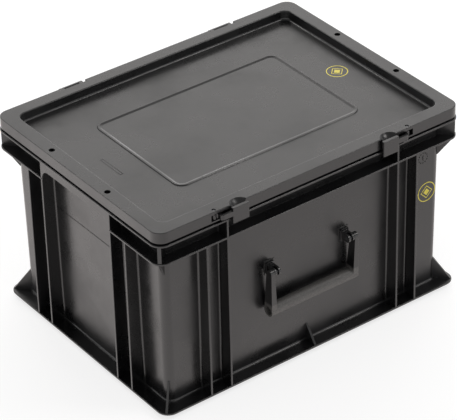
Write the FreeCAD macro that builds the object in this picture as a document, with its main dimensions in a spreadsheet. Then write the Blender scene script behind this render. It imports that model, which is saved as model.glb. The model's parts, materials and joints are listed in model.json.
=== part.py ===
import FreeCAD, Part
import math
import os
import re

import Sketcher

# Antistatic storage case: a ribbed stacking container with a hinged lid, two latches and a bail handle.
# X runs along the long side, Y along the short side, and the front with the latches and handle faces -Y.
# The origin is on the floor under the middle of the container.

# Driving sizes, in millimetres and degrees
SIZES = (
    ("case_length", 400, "over the rims, along X"),
    ("case_width", 300, "over the rims, along Y"),
    ("case_height", 235, "floor to the top of the closed lid"),
    ("lid_height", 12.7, "visible height of the lid's outer skirt"),
    ("lid_gap", 2.3, "between the lid's skirt and the container's rim"),
    ("play", 0.3, "between pieces that move past each other"),
    ("overshoot", 1, "how far a cut runs past the face that it opens"),
    ("fit_play", 0.06, "radial clearance of a running pin"),
    ("wall_inset", 15, "from the outside of the rims to the wall, at the top"),
    ("draft_angle", 0.5, "draft of the walls"),
    ("wall", 2.5, "container wall"),
    ("floor_thick", 3, "container floor"),
    ("wall_corner", 9, "outer corner radius of the wall"),
    ("rim_corner", 14, "outer corner radius of the rims"),
    ("rim_thick", 2.5, "top rim plate"),
    ("rib_thick", 2.4, "ribs, collar rib and flange"),
    ("edge_bevel", 0.5, "broken edges of the rims"),
    ("edge_round", 0.5, "rounded outer edges of the ribs"),
    ("rib_inset", 0.4, "ribs' outer edges behind the outside of the rims"),
    ("floor_round", 3, "fillet around the inside of the floor"),
    ("foot_round", 1.5, "rounded lower edge of the foot"),
    ("root_round", 2, "fillet where a rib meets the wall"),
    ("collar_depth", 24.3, "rim top to the lower edge of the collar rib"),
    ("band_depth", 8.4, "rim top to the step of the thicker wall band"),
    ("band_proud", 1.2, "how far the band stands out of the wall"),
    ("foot_height", 6, "stacking foot under the flange"),
    ("stack_play", 1.5, "between the foot and the recess of a lid below it"),
    ("inner_rib_inset", 87.3, "from the outside of the rims to each side's inner ribs"),
    ("outer_rib_inset", 61, "from the outside of the rims to each side's outer ribs"),
    ("corner_rib_thick", 4, "diagonal rib in the collar's corners"),
    ("gusset_low", 27, "height of the corner gussets on the flange"),
    ("gusset_high", 24, "height of the corner gussets under the collar"),
    ("gusset_middle", 22, "height of the gussets at the middle of the long sides"),
    ("gusset_inset", 1, "from a gusset's tip to the edge that it stands on"),
    ("grip_depth", 8, "height of the hand grip's web below the rim"),
    ("grip_corner", 12, "how far the web's ends curve down"),
    ("grip_tab", 0.4, "end of the web beside its rib"),
    ("grip_web", 2.6, "thickness of the hand grip's web"),
    ("lid_inset", 1, "lid edge to the outside of the rims"),
    ("lid_wall", 2.5, "lid walls"),
    ("lid_corner", 13, "outer corner radius of the lid"),
    ("lid_edge", 0.8, "rounded top edge of the lid"),
    ("lid_rim", 16.5, "width of the lid's raised rim"),
    ("recess_depth", 11, "stacking recess in the lid"),
    ("recess_corner", 10, "corner radius of the stacking recess"),
    ("recess_round", 2.5, "fillet around the recess floor"),
    ("recess_edge", 1.2, "rounded upper edge of the recess"),
    ("recess_draft", 4, "draft of the recess walls"),
    ("bearing_width", 2.5, "ring under the lid that bears on the rim"),
    ("bearing_offset", 5, "from the recess wall to that ring"),
    ("lip_depth", 5.5, "locating lip inside the container's mouth"),
    ("lip_play", 1, "between the lip and the mouth"),
    ("field_length", 243, "raised field on the recess floor"),
    ("field_width", 157, "raised field on the recess floor"),
    ("field_corner", 12, "corner radius of the field"),
    ("field_bead", 2.6, "width of the bead around the field"),
    ("bead_height", 0.9, "height of the bead"),
    ("bead_bevel", 0.7, "bevelled edges of the bead"),
    ("seal_hole", 6.8, "diameter of the seal holes in the lid's rim"),
    ("seal_inset", 8.5, "from the outside of the rims to the seal holes, along X"),
    ("seal_hole_y", 51, "middle to the seal holes, along Y"),
    ("latch_inset", 73, "from the outside of the rims to the latch pins, along X"),
    ("latch_sink", 4.5, "from the outside of the rims to the latch pins, along Y"),
    ("latch_pin", 3, "diameter of the latch pins"),
    ("latch_mouth", 4.4, "diameter of the mouth that the pins go in by"),
    ("latch_mouth_deep", 1.4, "depth of that mouth"),
    ("latch_pin_sink", 0.6, "latch pin end below the lid's top"),
    ("latch_eye", 5.4, "diameter of the latch eye"),
    ("latch_proud", 4.5, "latch plate's front beyond the rims"),
    ("latch_thick", 3.6, "latch plate"),
    ("latch_near", 18, "pin to the near edge of the plate"),
    ("latch_wide", 20.6, "width of the plate"),
    ("latch_top", 1.5, "plate's top below the lid's top"),
    ("latch_bottom", 4.8, "plate's lower edge below the rim's top"),
    ("latch_round", 1, "rounded edges of the plate"),
    ("latch_neck", 3.4, "pin to the near side of the arm's neck"),
    ("latch_neck_wide", 3, "width of that neck"),
    ("latch_bend", 3.6, "outer bend from the neck into the arm"),
    ("latch_arm_low", 4.5, "arm's lower face above the rim's top"),
    ("latch_arm_high", 5.6, "height of the arm"),
    ("nose_high", 2, "height of the latch's nose"),
    ("window_left", 5.5, "pin to the outer end of the latch window"),
    ("window_low", 1.7, "strip of skirt under the latch window"),
    ("window_roof", 3.5, "lid left above the latch window"),
    ("window_depth", 8, "depth of the latch window from the skirt's face"),
    ("liner", 2, "walls around the latch window and hinge notch"),
    ("scoop_radius", 13.6, "finger scoop behind the latch plate"),
    ("scoop_rise", 8, "middle of the scoop's ball above the lid"),
    ("scoop_out", 3, "middle of the scoop's ball in front of the lid's skirt"),
    ("hinge_inset", 99, "from the outside of the rims to the middle of each hinge"),
    ("hinge_long", 28.6, "length over the hinge knuckles"),
    ("hinge_sink", 0.5, "from the outside of the rims to the hinge axis"),
    ("hinge_axis_drop", 4.5, "lid's top to the hinge axis"),
    ("knuckle", 7.2, "diameter of the hinge knuckles"),
    ("knuckle_long", 4.4, "length of each end knuckle"),
    ("hinge_pin", 3, "diameter of the hinge pins"),
    ("notch_depth", 4, "depth of the hinge notch in the lid's edge"),
    ("notch_end", 2, "notch beyond the knuckles on the left"),
    ("notch_entry", 4, "notch beyond the knuckles on the right, where the pin goes in"),
    ("clip_thick", 2.6, "back of the hinge clip"),
    ("clip_wide", 15, "width of the hinge clip's hooks"),
    ("clip_hook", 6, "how far the clip's hooks reach over the rim"),
    ("clip_upper", 1.5, "thickness of the hook on top of the rim"),
    ("clip_lower", 2.6, "thickness of the hook under the rim"),
    ("handle_x", 58.6, "middle to the outside of each handle arm"),
    ("arm_thick", 4.8, "handle arm at its head, along X"),
    ("arm_foot", 7, "handle arm at the grip, along X"),
    ("arm_tuck", 0.4, "arm's sides inside the round of the grip"),
    ("handle_out", 10.4, "from the top of the wall to the handle's pivots"),
    ("handle_axis_z", 125.5, "floor to the handle's pivots"),
    ("arm_head", 8.8, "diameter of the arm's head"),
    ("handle_drop", 48, "pivots down to the middle of the grip"),
    ("grip_size", 14, "diameter of the grip"),
    ("grip_back", 2.2, "middle of the grip behind the pivots"),
    ("grip_bore", 9.6, "hollow of the grip"),
    ("cheek_thick", 2.5, "cheeks of the handle bracket"),
    ("cheek_gap", 2.8, "between the cheeks"),
    ("cheek_size", 9, "diameter of the cheeks' heads"),
    ("base_wide", 11, "width of the bracket's base"),
    ("base_high", 15, "height of the bracket's base"),
    ("base_thick", 2.2, "thickness of the bracket's base"),
    ("base_round", 2, "corner radius of the bracket's base"),
    ("pad_margin", 1, "seat on the wall beyond the bracket's base"),
    ("pad_inside", 1.6, "inner face of the seat inside the mouth"),
    ("pivot_pin", 4, "diameter of the handle's pivot pins"),
    ("pivot_reach", 3.6, "how far a pivot pin reaches into the arm"),
    ("handle_screw", 5, "diameter of the bracket screws"),
    ("screw_head", 10, "diameter of their heads inside the case"),
    ("screw_head_high", 2.8, "height of their heads"),
    ("screw_reach", 3.5, "how far a screw reaches into its bracket"),
    ("washer_size", 14, "diameter of the washers inside the case"),
    ("washer_thick", 1.2, "their thickness"),
)

doc = FreeCAD.newDocument("StorageCase")
sheet = doc.addObject("Spreadsheet::Sheet", "Sizes")
for row, (alias, number, note) in enumerate(SIZES, start=1):
    sheet.set(f"A{row}", alias)
    sheet.set(f"B{row}", str(number))
    sheet.set(f"C{row}", note)
    sheet.setAlias(f"B{row}", alias)
doc.recompute()

# Levels and planes that several pieces share, each written in terms of the sizes above
PLACES = {
    "rim_top": "(case_height - lid_height - lid_gap)",
    "rim_under": "(rim_top - rim_thick)",
    "collar_low": "(rim_top - collar_depth)",
    "flange_top": "(foot_height + rib_thick)",
    "draft_run": "(rim_top * tan(draft_angle))",
    "wall_x": "(case_length / 2 - wall_inset)",
    "wall_y": "(case_width / 2 - wall_inset)",
    "lid_x": "(case_length / 2 - lid_inset)",
    "lid_y": "(case_width / 2 - lid_inset)",
    "skirt_low": "(case_height - lid_height)",
    "recess_x": "(lid_x - lid_rim)",
    "recess_y": "(lid_y - lid_rim)",
    "recess_floor": "(case_height - recess_depth)",
    "mouth_x": "(wall_x - wall)",
    "mouth_y": "(wall_y - wall)",
    "long_rib_inner": "(case_length / 2 - inner_rib_inset)",
    "long_rib_outer": "(case_length / 2 - outer_rib_inset)",
    "short_rib_inner": "(case_width / 2 - inner_rib_inset)",
    "short_rib_outer": "(case_width / 2 - outer_rib_inset)",
    "seal_hole_x": "(case_length / 2 - seal_inset)",
    "latch_pin_x": "(case_length / 2 - latch_inset)",
    "latch_pin_y": "(case_width / 2 - latch_sink)",
    "hinge_x": "(case_length / 2 - hinge_inset)",
    "hinge_axis_y": "(case_width / 2 - hinge_sink)",
    "hinge_axis_z": "(case_height - hinge_axis_drop)",
    "latch_front": "(case_width / 2 + latch_proud)",
    "window_bottom": "(skirt_low + window_low)",
    "window_top": "(case_height - window_roof)",
    "window_right": "(latch_near + latch_round)",
    "seat_y": "wall_y",
    "handle_axis_y": "(wall_y + handle_out)",
    "seat_inner": "(mouth_y - pad_inside)",
    "screw_tip": "(seat_y + screw_reach)",
    "cheek_outer": "(handle_x - arm_thick - play)",
    "cheek_inner": "(cheek_outer - 2 * cheek_thick - cheek_gap)",
    "bracket_x": "((cheek_outer + cheek_inner) / 2)",
}


def spell_out(text):
    """Replace place names by their expressions, down to the aliases of the sheet."""
    while True:
        longer = re.sub(r"\b[a-z_]+\b", lambda word: PLACES.get(word.group(), word.group()), text)
        if longer == text:
            return text
        text = longer


def bound(text):
    """An expression that reads its sizes from the sheet."""
    aliases = {alias for alias, number, note in SIZES}
    return re.sub(
        r"\b[a-z_]+\b",
        lambda word: "Sizes." + word.group() if word.group() in aliases else word.group(),
        spell_out(text),
    )


def bind(thing, prop, text):
    """Tie one property of an object to the sizes."""
    thing.setExpression(prop, bound(text))


def span(sign, near, far):
    """The stretch from near to far on the side of an axis that the sign gives, low end first."""
    if sign > 0:
        return near, far
    return f"-({far})", f"-({near})"


def around(middle, width):
    """A stretch of the given width around its middle."""
    return f"{middle} - ({width}) / 2", f"{middle} + ({width}) / 2"


def box(name, xs, ys, zs):
    """A box between two planes along each axis."""
    solid = doc.addObject("Part::Box", name)
    for side, axis, (low, high) in zip(("Length", "Width", "Height"), "xyz", (xs, ys, zs)):
        bind(solid, side, f"({high}) - ({low})")
        bind(solid, f"Placement.Base.{axis}", low)
    return solid


ROD_TURNS = {
    "x": FreeCAD.Rotation(FreeCAD.Vector(0, 1, 0), 90),
    "y": FreeCAD.Rotation(FreeCAD.Vector(1, 0, 0), -90),
    "z": FreeCAD.Rotation(),
}


def rod(name, axis, middle, ends, diameter):
    """A cylinder along an axis. The middle is given by its place on the two other axes."""
    solid = doc.addObject("Part::Cylinder", name)
    solid.Placement = FreeCAD.Placement(FreeCAD.Vector(), ROD_TURNS[axis])
    bind(solid, "Radius", f"({diameter}) / 2")
    bind(solid, "Height", f"({ends[1]}) - ({ends[0]})")
    bind(solid, f"Placement.Base.{axis}", ends[0])
    for other, place in zip("xyz".replace(axis, ""), middle):
        bind(solid, f"Placement.Base.{other}", place)
    return solid


def fuse(name, pieces):
    """All the pieces as one."""
    whole = doc.addObject("Part::MultiFuse", name)
    whole.Shapes = pieces
    return whole


def cut(name, base, tools):
    """The base without the tools."""
    whole = doc.addObject("Part::Cut", name)
    whole.Base = base
    whole.Tool = tools[0] if len(tools) == 1 else fuse(name + "Tools", tools)
    return whole


def common(name, pieces):
    """Where the pieces overlap."""
    whole = doc.addObject("Part::MultiCommon", name)
    whole.Shapes = pieces
    return whole


def round_edges(name, base, choice):
    """The base with rounded edges. The choice gives an edge's radius, or None to leave it sharp."""
    doc.recompute()
    picked = []
    for number, edge in enumerate(base.Shape.Edges, start=1):
        radius = choice(edge)
        if radius:
            picked.append((number, radius, radius))
    rounded = doc.addObject("Part::Fillet", name)
    rounded.Base = base
    rounded.Edges = picked
    return rounded


def size(alias):
    """The number in the sheet, for the radius of a round."""
    return float(sheet.get(alias))


PLANE_SIGNS = {"XY": 1, "XZ": -1, "YZ": 1}
TOUCH = 1e-4


def prism(name, plane, outline, ends, rounds=(), draft=None):
    """A body padded from a closed outline between two planes.

    The outline's points are pairs of expressions. Each round is a radius and the numbers of the
    points whose edges get it. With a draft the outline is at the upper end and narrows downwards.
    """
    body = doc.addObject("PartDesign::Body", name)
    sketch = body.newObject("Sketcher::SketchObject", name + "Outline")
    origin_plane = next(part for part in body.Origin.OriginFeatures if part.Role == plane + "_Plane")
    sketch.AttachmentSupport = [(origin_plane, "")]
    sketch.MapMode = "FlatFace"
    count = len(outline)
    start = [
        FreeCAD.Vector(math.cos(2 * math.pi * n / count), math.sin(2 * math.pi * n / count), 0)
        for n in range(count)
    ]
    for n in range(count):
        sketch.addGeometry(Part.LineSegment(start[n], start[(n + 1) % count]))
    for n in range(count):
        sketch.addConstraint(Sketcher.Constraint("Coincident", n, 2, (n + 1) % count, 1))
    for n, point in enumerate(outline):
        for kind, place, text in zip(("DistanceX", "DistanceY"), (start[n].x, start[n].y), point):
            number = sketch.addConstraint(Sketcher.Constraint(kind, -1, 1, n, 1, place))
            bind(sketch, f"Constraints[{number}]", text)
    low, high = ends
    from_top = draft is not None
    level = high if from_top or PLANE_SIGNS[plane] < 0 else low
    bind(sketch, "AttachmentOffset.Base.z", f"{PLANE_SIGNS[plane]} * ({level})")
    pad = body.newObject("PartDesign::Pad", name + "Pad")
    pad.Profile = sketch
    bind(pad, "Length", f"({high}) - ({low})")
    if from_top:
        pad.Reversed = True
        bind(pad, "TaperAngle", f"-({draft})")
    doc.recompute()
    corners = [sketch.Placement.multVec(sketch.Geometry[n].StartPoint) for n in range(count)]
    for radius, numbers in rounds:
        chosen = [corners[n] for n in numbers]
        soften(body, radius, lambda edge: meets_one(edge, chosen) and leaves_plane(edge, corners))
    return body


def meets_one(edge, points):
    """Whether the edge starts or ends at one of the points."""
    return any(point.distanceToPoint(vertex.Point) < TOUCH for point in points for vertex in edge.Vertexes)


def leaves_plane(edge, corners):
    """Whether only one end of the edge is in the plane of the corners."""
    normal = (corners[1] - corners[0]).cross(corners[2] - corners[0])
    away = [abs((vertex.Point - corners[0]).dot(normal.normalize())) for vertex in edge.Vertexes]
    return len(away) == 2 and (away[0] < TOUCH) != (away[1] < TOUCH)


def soften(body, radius, chosen):
    """Round the edges of a body that the test chooses."""
    base = body.Tip
    names = [f"Edge{n}" for n, edge in enumerate(base.Shape.Edges, start=1) if chosen(edge)]
    rounded = body.newObject("PartDesign::Fillet", base.Name + "Round")
    rounded.Base = (base, names)
    bind(rounded, "Radius", radius)
    doc.recompute()


def heights(shape):
    """The lowest and the highest corner of a shape."""
    levels = [vertex.Z for vertex in shape.Vertexes]
    return min(levels), max(levels)


def in_level(edge, level):
    """Whether the whole edge lies at one height."""
    middle = edge.valueAt((edge.FirstParameter + edge.LastParameter) / 2)
    return all(abs(z - level) < TOUCH for z in (middle.z, *heights(edge)))


def soften_level(body, radius, top):
    """Round the edges around the top or the bottom face of a body."""
    level = heights(body.Tip.Shape)[1 if top else 0]
    soften(body, radius, lambda edge: in_level(edge, level))


def bevel_level(body, width, top):
    """Bevel the edges around the top or the bottom face of a body."""
    base = body.Tip
    level = heights(base.Shape)[1 if top else 0]
    names = [f"Edge{n}" for n, edge in enumerate(base.Shape.Edges, start=1) if in_level(edge, level)]
    bevelled = body.newObject("PartDesign::Chamfer", base.Name + "Bevel")
    bevelled.Base = (base, names)
    bind(bevelled, "Size", width)
    doc.recompute()


def plate(name, half_x, half_y, ends, corner, draft=None):
    """A rectangular plate or block around the middle, with rounded corners."""
    outline = [
        (f"-({half_x})", f"-({half_y})"), (half_x, f"-({half_y})"), (half_x, half_y), (f"-({half_x})", half_y)
    ]
    return prism(name, "XY", outline, ends, [(corner, range(4))], draft)


def ring(name, half_x, half_y, width, ends, corner):
    """A rectangular frame, its outside given by the half lengths."""
    outer = plate(name + "Outer", half_x, half_y, ends, corner)
    inner = plate(
        name + "Inner", f"{half_x} - {width}", f"{half_y} - {width}",
        (f"{ends[0]} - overshoot", f"{ends[1]} + overshoot"),
        f"{corner} - {width}",
    )
    return cut(name, outer, [inner])


def piece(label, whole):
    """Name the finished sub-part."""
    whole.Label = label
    pieces.append(whole)
    return whole


pieces = []


# Container: a drafted wall on a stacking foot, stiffened by ribs between the flange and the collar

def upright_ribs():
    """The ribs of the four sides. Only the inner ones run up through the collar to the rim."""
    ribs = []
    floor_end = "foot_height + rib_thick / 2"
    tops = {"inner": "rim_under + rim_thick / 2", "outer": "collar_low + rib_thick / 2"}
    for side in (-1, 1):
        for place in (-1, 1):
            for which, top in tops.items():
                along = around(f"{place} * long_rib_{which}", "rib_thick")
                across = span(side, "mouth_y", "case_width / 2 - rib_inset")
                ribs.append(box(f"LongRib{len(ribs)}", along, across, (floor_end, top)))
                along = around(f"{place} * short_rib_{which}", "rib_thick")
                across = span(side, "mouth_x", "case_length / 2 - rib_inset")
                ribs.append(box(f"ShortRib{len(ribs)}", across, along, (floor_end, top)))
    return ribs


UPRIGHT = 0.99


def ribbed_wall():
    """The wall block with its ribs, their roots filleted and their outer edges broken."""
    wall = plate("Wall", "wall_x", "wall_y", ("foot_height", "rim_top"), "wall_corner", "draft_angle")
    ribs = upright_ribs()
    whole = fuse("RibbedWall", [wall] + ribs)
    doc.recompute()
    bounds = [rib.Shape.BoundBox for rib in ribs]
    outer_x = max(bound_box.XMax for bound_box in bounds)
    outer_y = max(bound_box.YMax for bound_box in bounds)

    def choice(edge):
        middle = edge.BoundBox.Center
        if edge.BoundBox.ZLength < edge.Length * UPRIGHT:
            return None
        on_rib = any(
            min(abs(middle.x - b.XMin), abs(middle.x - b.XMax)) < TOUCH and b.XLength < b.YLength
            or min(abs(middle.y - b.YMin), abs(middle.y - b.YMax)) < TOUCH and b.YLength < b.XLength
            for b in bounds
        )
        if not on_rib:
            return None
        outside = abs(abs(middle.x) - outer_x) < TOUCH or abs(abs(middle.y) - outer_y) < TOUCH
        return size("edge_round") if outside else size("root_round")

    return round_edges("RibbedWallRounded", whole, choice)


def rims():
    """Top rim, collar rib and bottom flange. The collar rib is open at the hand grips."""
    top = plate("TopRim", "case_length / 2", "case_width / 2", ("rim_under", "rim_top"), "rim_corner")
    bevel_level(top, "edge_bevel", True)
    bevel_level(top, "edge_bevel", False)
    collar = plate(
        "CollarRib", "case_length / 2", "case_width / 2", ("collar_low", "collar_low + rib_thick"),
        "rim_corner",
    )
    bevel_level(collar, "edge_bevel", True)
    bevel_level(collar, "edge_bevel", False)
    gaps = [
        box(
            f"CollarGap{side}", span(side, "wall_x - wall / 2", "case_length / 2 + overshoot"),
            around("0", "2 * short_rib_inner"),
            ("collar_low - overshoot", "collar_low + rib_thick + overshoot"),
        )
        for side in (-1, 1)
    ]
    flange = plate("Flange", "case_length / 2", "case_width / 2", ("foot_height", "flange_top"), "rim_corner")
    bevel_level(flange, "edge_bevel", True)
    bevel_level(flange, "edge_bevel", False)
    band = plate(
        "Band", "wall_x + band_proud", "wall_y + band_proud",
        ("rim_top - band_depth", "rim_under + rim_thick / 2"),
        "wall_corner + band_proud",
    )
    return [top, cut("Collar", collar, gaps), flange, band]


def foot():
    """The foot that stands in the recess of a lid below it."""
    block = plate(
        "Foot", "recess_x - stack_play", "recess_y - stack_play", ("0", "foot_height + rib_thick / 2"),
        "recess_corner - stack_play",
    )
    soften_level(block, "foot_round", False)
    return block


def hand_grips():
    """Webs under the rim of the short sides, to lift by, each with its lower corners curved down."""
    webs = []
    for side in (-1, 1):
        plane_span = span(side, "case_length / 2 - rib_inset - grip_web", "case_length / 2 - rib_inset")
        reach = "short_rib_inner"
        outline = [
            (f"-{reach}", "rim_under + rim_thick / 2"),
            (f"-{reach}", "collar_low"),
            (f"-{reach} + rib_thick / 2 + grip_tab", "collar_low"),
            (f"-{reach} + rib_thick / 2 + grip_tab", "rim_under - grip_depth"),
            (f"{reach} - rib_thick / 2 - grip_tab", "rim_under - grip_depth"),
            (f"{reach} - rib_thick / 2 - grip_tab", "collar_low"),
            (reach, "collar_low"),
            (reach, "rim_under + rim_thick / 2"),
        ]
        webs.append(prism(f"GripWeb{side}", "YZ", outline, plane_span, [("grip_corner", (3, 4))]))
    return webs


def gusset(name, outline, turn, middle, thick="rib_thick"):
    """A thin plate that stands on end. The outline is in the plate's own plane."""
    body = prism(name, "XZ", outline, (f"-{thick} / 2", f"{thick} / 2"))
    body.Placement = FreeCAD.Placement(FreeCAD.Vector(), FreeCAD.Rotation(FreeCAD.Vector(0, 0, 1), turn))
    for axis, place in zip("xy", middle):
        bind(body, f"Placement.Base.{axis}", place)
    return body


def gussets():
    """Diagonal gussets and collar ribs in the four corners, and one gusset on each long side."""
    plates = []
    root = "wall_corner / 2"
    tip = "(wall_inset - rim_corner + wall_corner) * 2 ^ 0.5 + rim_corner - gusset_inset"
    triangles = {
        "Low": [
            (root, "flange_top - rib_thick / 2"), (tip, "flange_top - rib_thick / 2"), (tip, "flange_top"),
            ("wall_corner - draft_run", "flange_top + gusset_low"), (root, "flange_top + gusset_low"),
        ],
        "High": [
            (root, "collar_low + rib_thick / 2"), (root, "collar_low - gusset_high"),
            ("wall_corner", "collar_low - gusset_high"), (tip, "collar_low"),
            (tip, "collar_low + rib_thick / 2"),
        ],
    }
    post = [
        (root, "collar_low + rib_thick / 2"), (tip, "collar_low + rib_thick / 2"),
        (tip, "rim_under + rim_thick / 2"), (root, "rim_under + rim_thick / 2"),
    ]
    corner_middle = ("wall_x - wall_corner", "wall_y - wall_corner")
    for side in (-1, 1):
        for front in (-1, 1):
            turn = math.degrees(math.atan2(front, side))
            middle = (f"{side} * ({corner_middle[0]})", f"{front} * ({corner_middle[1]})")
            for name, outline in triangles.items():
                plates.append(gusset(f"CornerGusset{name}{len(plates)}", outline, turn, middle))
            plates.append(gusset(f"CollarPost{len(plates)}", post, turn, middle, "corner_rib_thick"))
    for front in (-1, 1):
        outline = [
            ("mouth_y - draft_run", "flange_top - rib_thick / 2"),
            ("case_width / 2 - gusset_inset", "flange_top - rib_thick / 2"),
            ("case_width / 2 - gusset_inset", "flange_top"),
            ("wall_y - draft_run", "flange_top + gusset_middle"),
            ("mouth_y - draft_run", "flange_top + gusset_middle"),
        ]
        plates.append(gusset(f"MiddleGusset{front}", outline, 90 * front, ("0", "0")))
    return plates


def cavity():
    """The inside: the drafted mouth down to the flange, and the narrower space in the foot."""
    mouth = plate(
        "Mouth", "mouth_x", "mouth_y", ("flange_top", "rim_top + overshoot"), "wall_corner - wall",
        "draft_angle",
    )
    well = plate(
        "Well", "recess_x - stack_play - wall", "recess_y - stack_play - wall",
        ("floor_thick", "flange_top + overshoot"),
        "recess_corner - stack_play - wall",
    )
    soften_level(well, "floor_round", False)
    return [mouth, well]


def container():
    """The moulded container."""
    outside = fuse("ContainerOutside", [ribbed_wall()] + rims() + [foot()] + hand_grips() + gussets())
    hollow = cut("ContainerHollow", outside, cavity())
    seats = [
        box(
            f"BracketSeat{side}", around(f"{side} * bracket_x", "base_wide + 2 * pad_margin"),
            span(-1, "seat_inner", "seat_y"), around("handle_axis_z", "base_high + 2 * pad_margin"),
        )
        for side in (-1, 1)
    ]
    holes = [
        rod(
            f"ScrewHole{side}", "y", (f"{side} * bracket_x", "handle_axis_z"),
            span(-1, "seat_inner - overshoot", "seat_y + overshoot"), "handle_screw + 2 * play",
        )
        for side in (-1, 1)
    ]
    return piece("container", cut("Container", fuse("ContainerSeats", [hollow] + seats), holes))


# Lid: a tray with a raised hollow rim, pockets for the latches and notches for the hinges

def lid_tray():
    """The lid before its pockets: skirt, raised rim, stacking recess, bearing ring and locating lip."""
    outer = plate("LidOuter", "lid_x", "lid_y", ("skirt_low", "case_height"), "lid_corner")
    channel = plate(
        "LidChannel", "lid_x - lid_wall", "lid_y - lid_wall",
        ("skirt_low - overshoot", "case_height - lid_wall"),
        "lid_corner - lid_wall",
    )
    island = plate(
        "LidIsland", "recess_x + lid_wall", "recess_y + lid_wall",
        ("recess_floor - lid_wall", "case_height - lid_wall / 2"), "recess_corner + lid_wall",
    )
    recess = plate(
        "LidRecess", "recess_x", "recess_y", ("recess_floor", "case_height + overshoot"),
        "recess_corner", "recess_draft",
    )
    soften_level(recess, "recess_round", False)
    tray = cut("LidTray", fuse("LidSolid", [cut("LidShell", outer, [channel]), island]), [recess])
    doc.recompute()
    top = heights(tray.Shape)[1]
    outside = tray.Shape.BoundBox

    def choice(edge):
        if not in_level(edge, top):
            return None
        middle = edge.BoundBox.Center
        inside_x = outside.XMax - abs(middle.x)
        inside_y = outside.YMax - abs(middle.y)
        return size("lid_edge") if min(inside_x, inside_y) < size("lid_corner") else size("recess_edge")

    return round_edges("LidTrayRounded", tray, choice)


def lid_underside():
    """The ring that bears on the container's rim, and the lip that finds its mouth."""
    bearing = ring(
        "Bearing", "recess_x + bearing_offset", "recess_y + bearing_offset", "bearing_width",
        ("rim_top + play", "case_height - lid_wall / 2"), "recess_corner + bearing_offset",
    )
    lip = ring(
        "Lip", "mouth_x - lip_play", "mouth_y - lip_play", "lid_wall",
        ("recess_floor - lid_wall - lip_depth", "recess_floor - lid_wall / 2"), "wall_corner - wall",
    )
    return [bearing, lip]


FIELD_LEVELS = ("recess_floor - lid_wall / 2", "recess_floor + bead_height")


def field_bead():
    """The low bead around the raised field of the recess."""
    outer = plate("FieldOuter", "field_length / 2", "field_width / 2", FIELD_LEVELS, "field_corner")
    bevel_level(outer, "bead_bevel", True)
    inner = plate(
        "FieldInner", "field_length / 2 - field_bead", "field_width / 2 - field_bead", FIELD_LEVELS,
        "field_corner - field_bead",
    )
    return cut("FieldBead", outer, [inner])


def latch_pockets(side):
    """The walled window for a latch's arm with the solid behind its finger scoop, and what is cut away."""
    window_x = ["latch_pin_x - window_right", "latch_pin_x + window_left"]
    scoop_x = "latch_pin_x - latch_near - latch_wide / 2"
    solids = [
        box(
            f"WindowLiner{side}", span(side, window_x[0], f"{window_x[1]} + liner"),
            span(-1, "lid_y - window_depth - liner", "lid_y - lid_wall / 2"),
            ("skirt_low", "case_height - lid_wall / 2"),
        ),
        box(
            f"ScoopLiner{side}", span(side, f"{scoop_x} - latch_wide / 2 - liner", window_x[0]),
            span(-1, "lid_y - window_depth - liner", "lid_y - lid_wall / 2"),
            ("case_height + scoop_rise - scoop_radius - liner", "case_height - lid_wall / 2"),
        ),
    ]
    window = box(
        f"Window{side}", span(side, *window_x), span(-1, "lid_y - window_depth", "lid_y + overshoot"),
        ("window_bottom", "window_top"),
    )
    pin_hole = rod(
        f"LatchPinHole{side}", "z", (f"{side} * latch_pin_x", "-latch_pin_y"),
        ("skirt_low - overshoot", "case_height + overshoot"),
        "latch_pin",
    )
    pin_mouth = rod(
        f"LatchPinMouth{side}", "z", (f"{side} * latch_pin_x", "-latch_pin_y"),
        ("case_height - latch_mouth_deep", "case_height + overshoot"), "latch_mouth",
    )
    scoop = doc.addObject("Part::Sphere", f"Scoop{side + 1}")
    bind(scoop, "Radius", "scoop_radius")
    scoop_middle = (f"{side} * ({scoop_x})", "-(lid_y + scoop_out)", "case_height + scoop_rise")
    for axis, place in zip("xyz", scoop_middle):
        bind(scoop, f"Placement.Base.{axis}", place)
    return solids, [window, pin_hole, pin_mouth, scoop]


def hinge_notch(side):
    """The walled notch in the rear edge with its two end knuckles, and what is cut away."""
    middle = f"{side} * hinge_x"
    left = f"{middle} - hinge_long / 2"
    right = f"{middle} + hinge_long / 2"
    solids = [
        box(
            f"NotchLiner{side}", (f"{left} - notch_end - liner", f"{right} + notch_entry + liner"),
            ("lid_y - notch_depth - liner", "lid_y - lid_wall / 2"),
            ("skirt_low", "case_height - lid_wall / 2"),
        ),
    ]
    notch = box(
        f"Notch{side}", (f"{left} - notch_end", f"{right} + notch_entry"),
        ("lid_y - notch_depth", "lid_y + overshoot"),
        ("skirt_low - overshoot", "case_height + overshoot"),
    )
    knuckles = []
    knuckle_ends = {"A": (left, f"{left} + knuckle_long"), "B": (f"{right} - knuckle_long", right)}
    for name, ends in knuckle_ends.items():
        knuckles.append(rod(f"Knuckle{name}{side}", "x", ("hinge_axis_y", "hinge_axis_z"), ends, "knuckle"))
        knuckles.append(
            box(
                f"KnuckleNeck{name}{side}", ends, ("lid_y - notch_depth - liner / 2", "hinge_axis_y"),
                around("hinge_axis_z", "knuckle"),
            )
        )
    bore = rod(
        f"KnuckleBore{side}", "x", ("hinge_axis_y", "hinge_axis_z"),
        (f"{left} - overshoot", f"{right} + overshoot"), "hinge_pin",
    )
    return solids, notch, knuckles, bore


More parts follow.
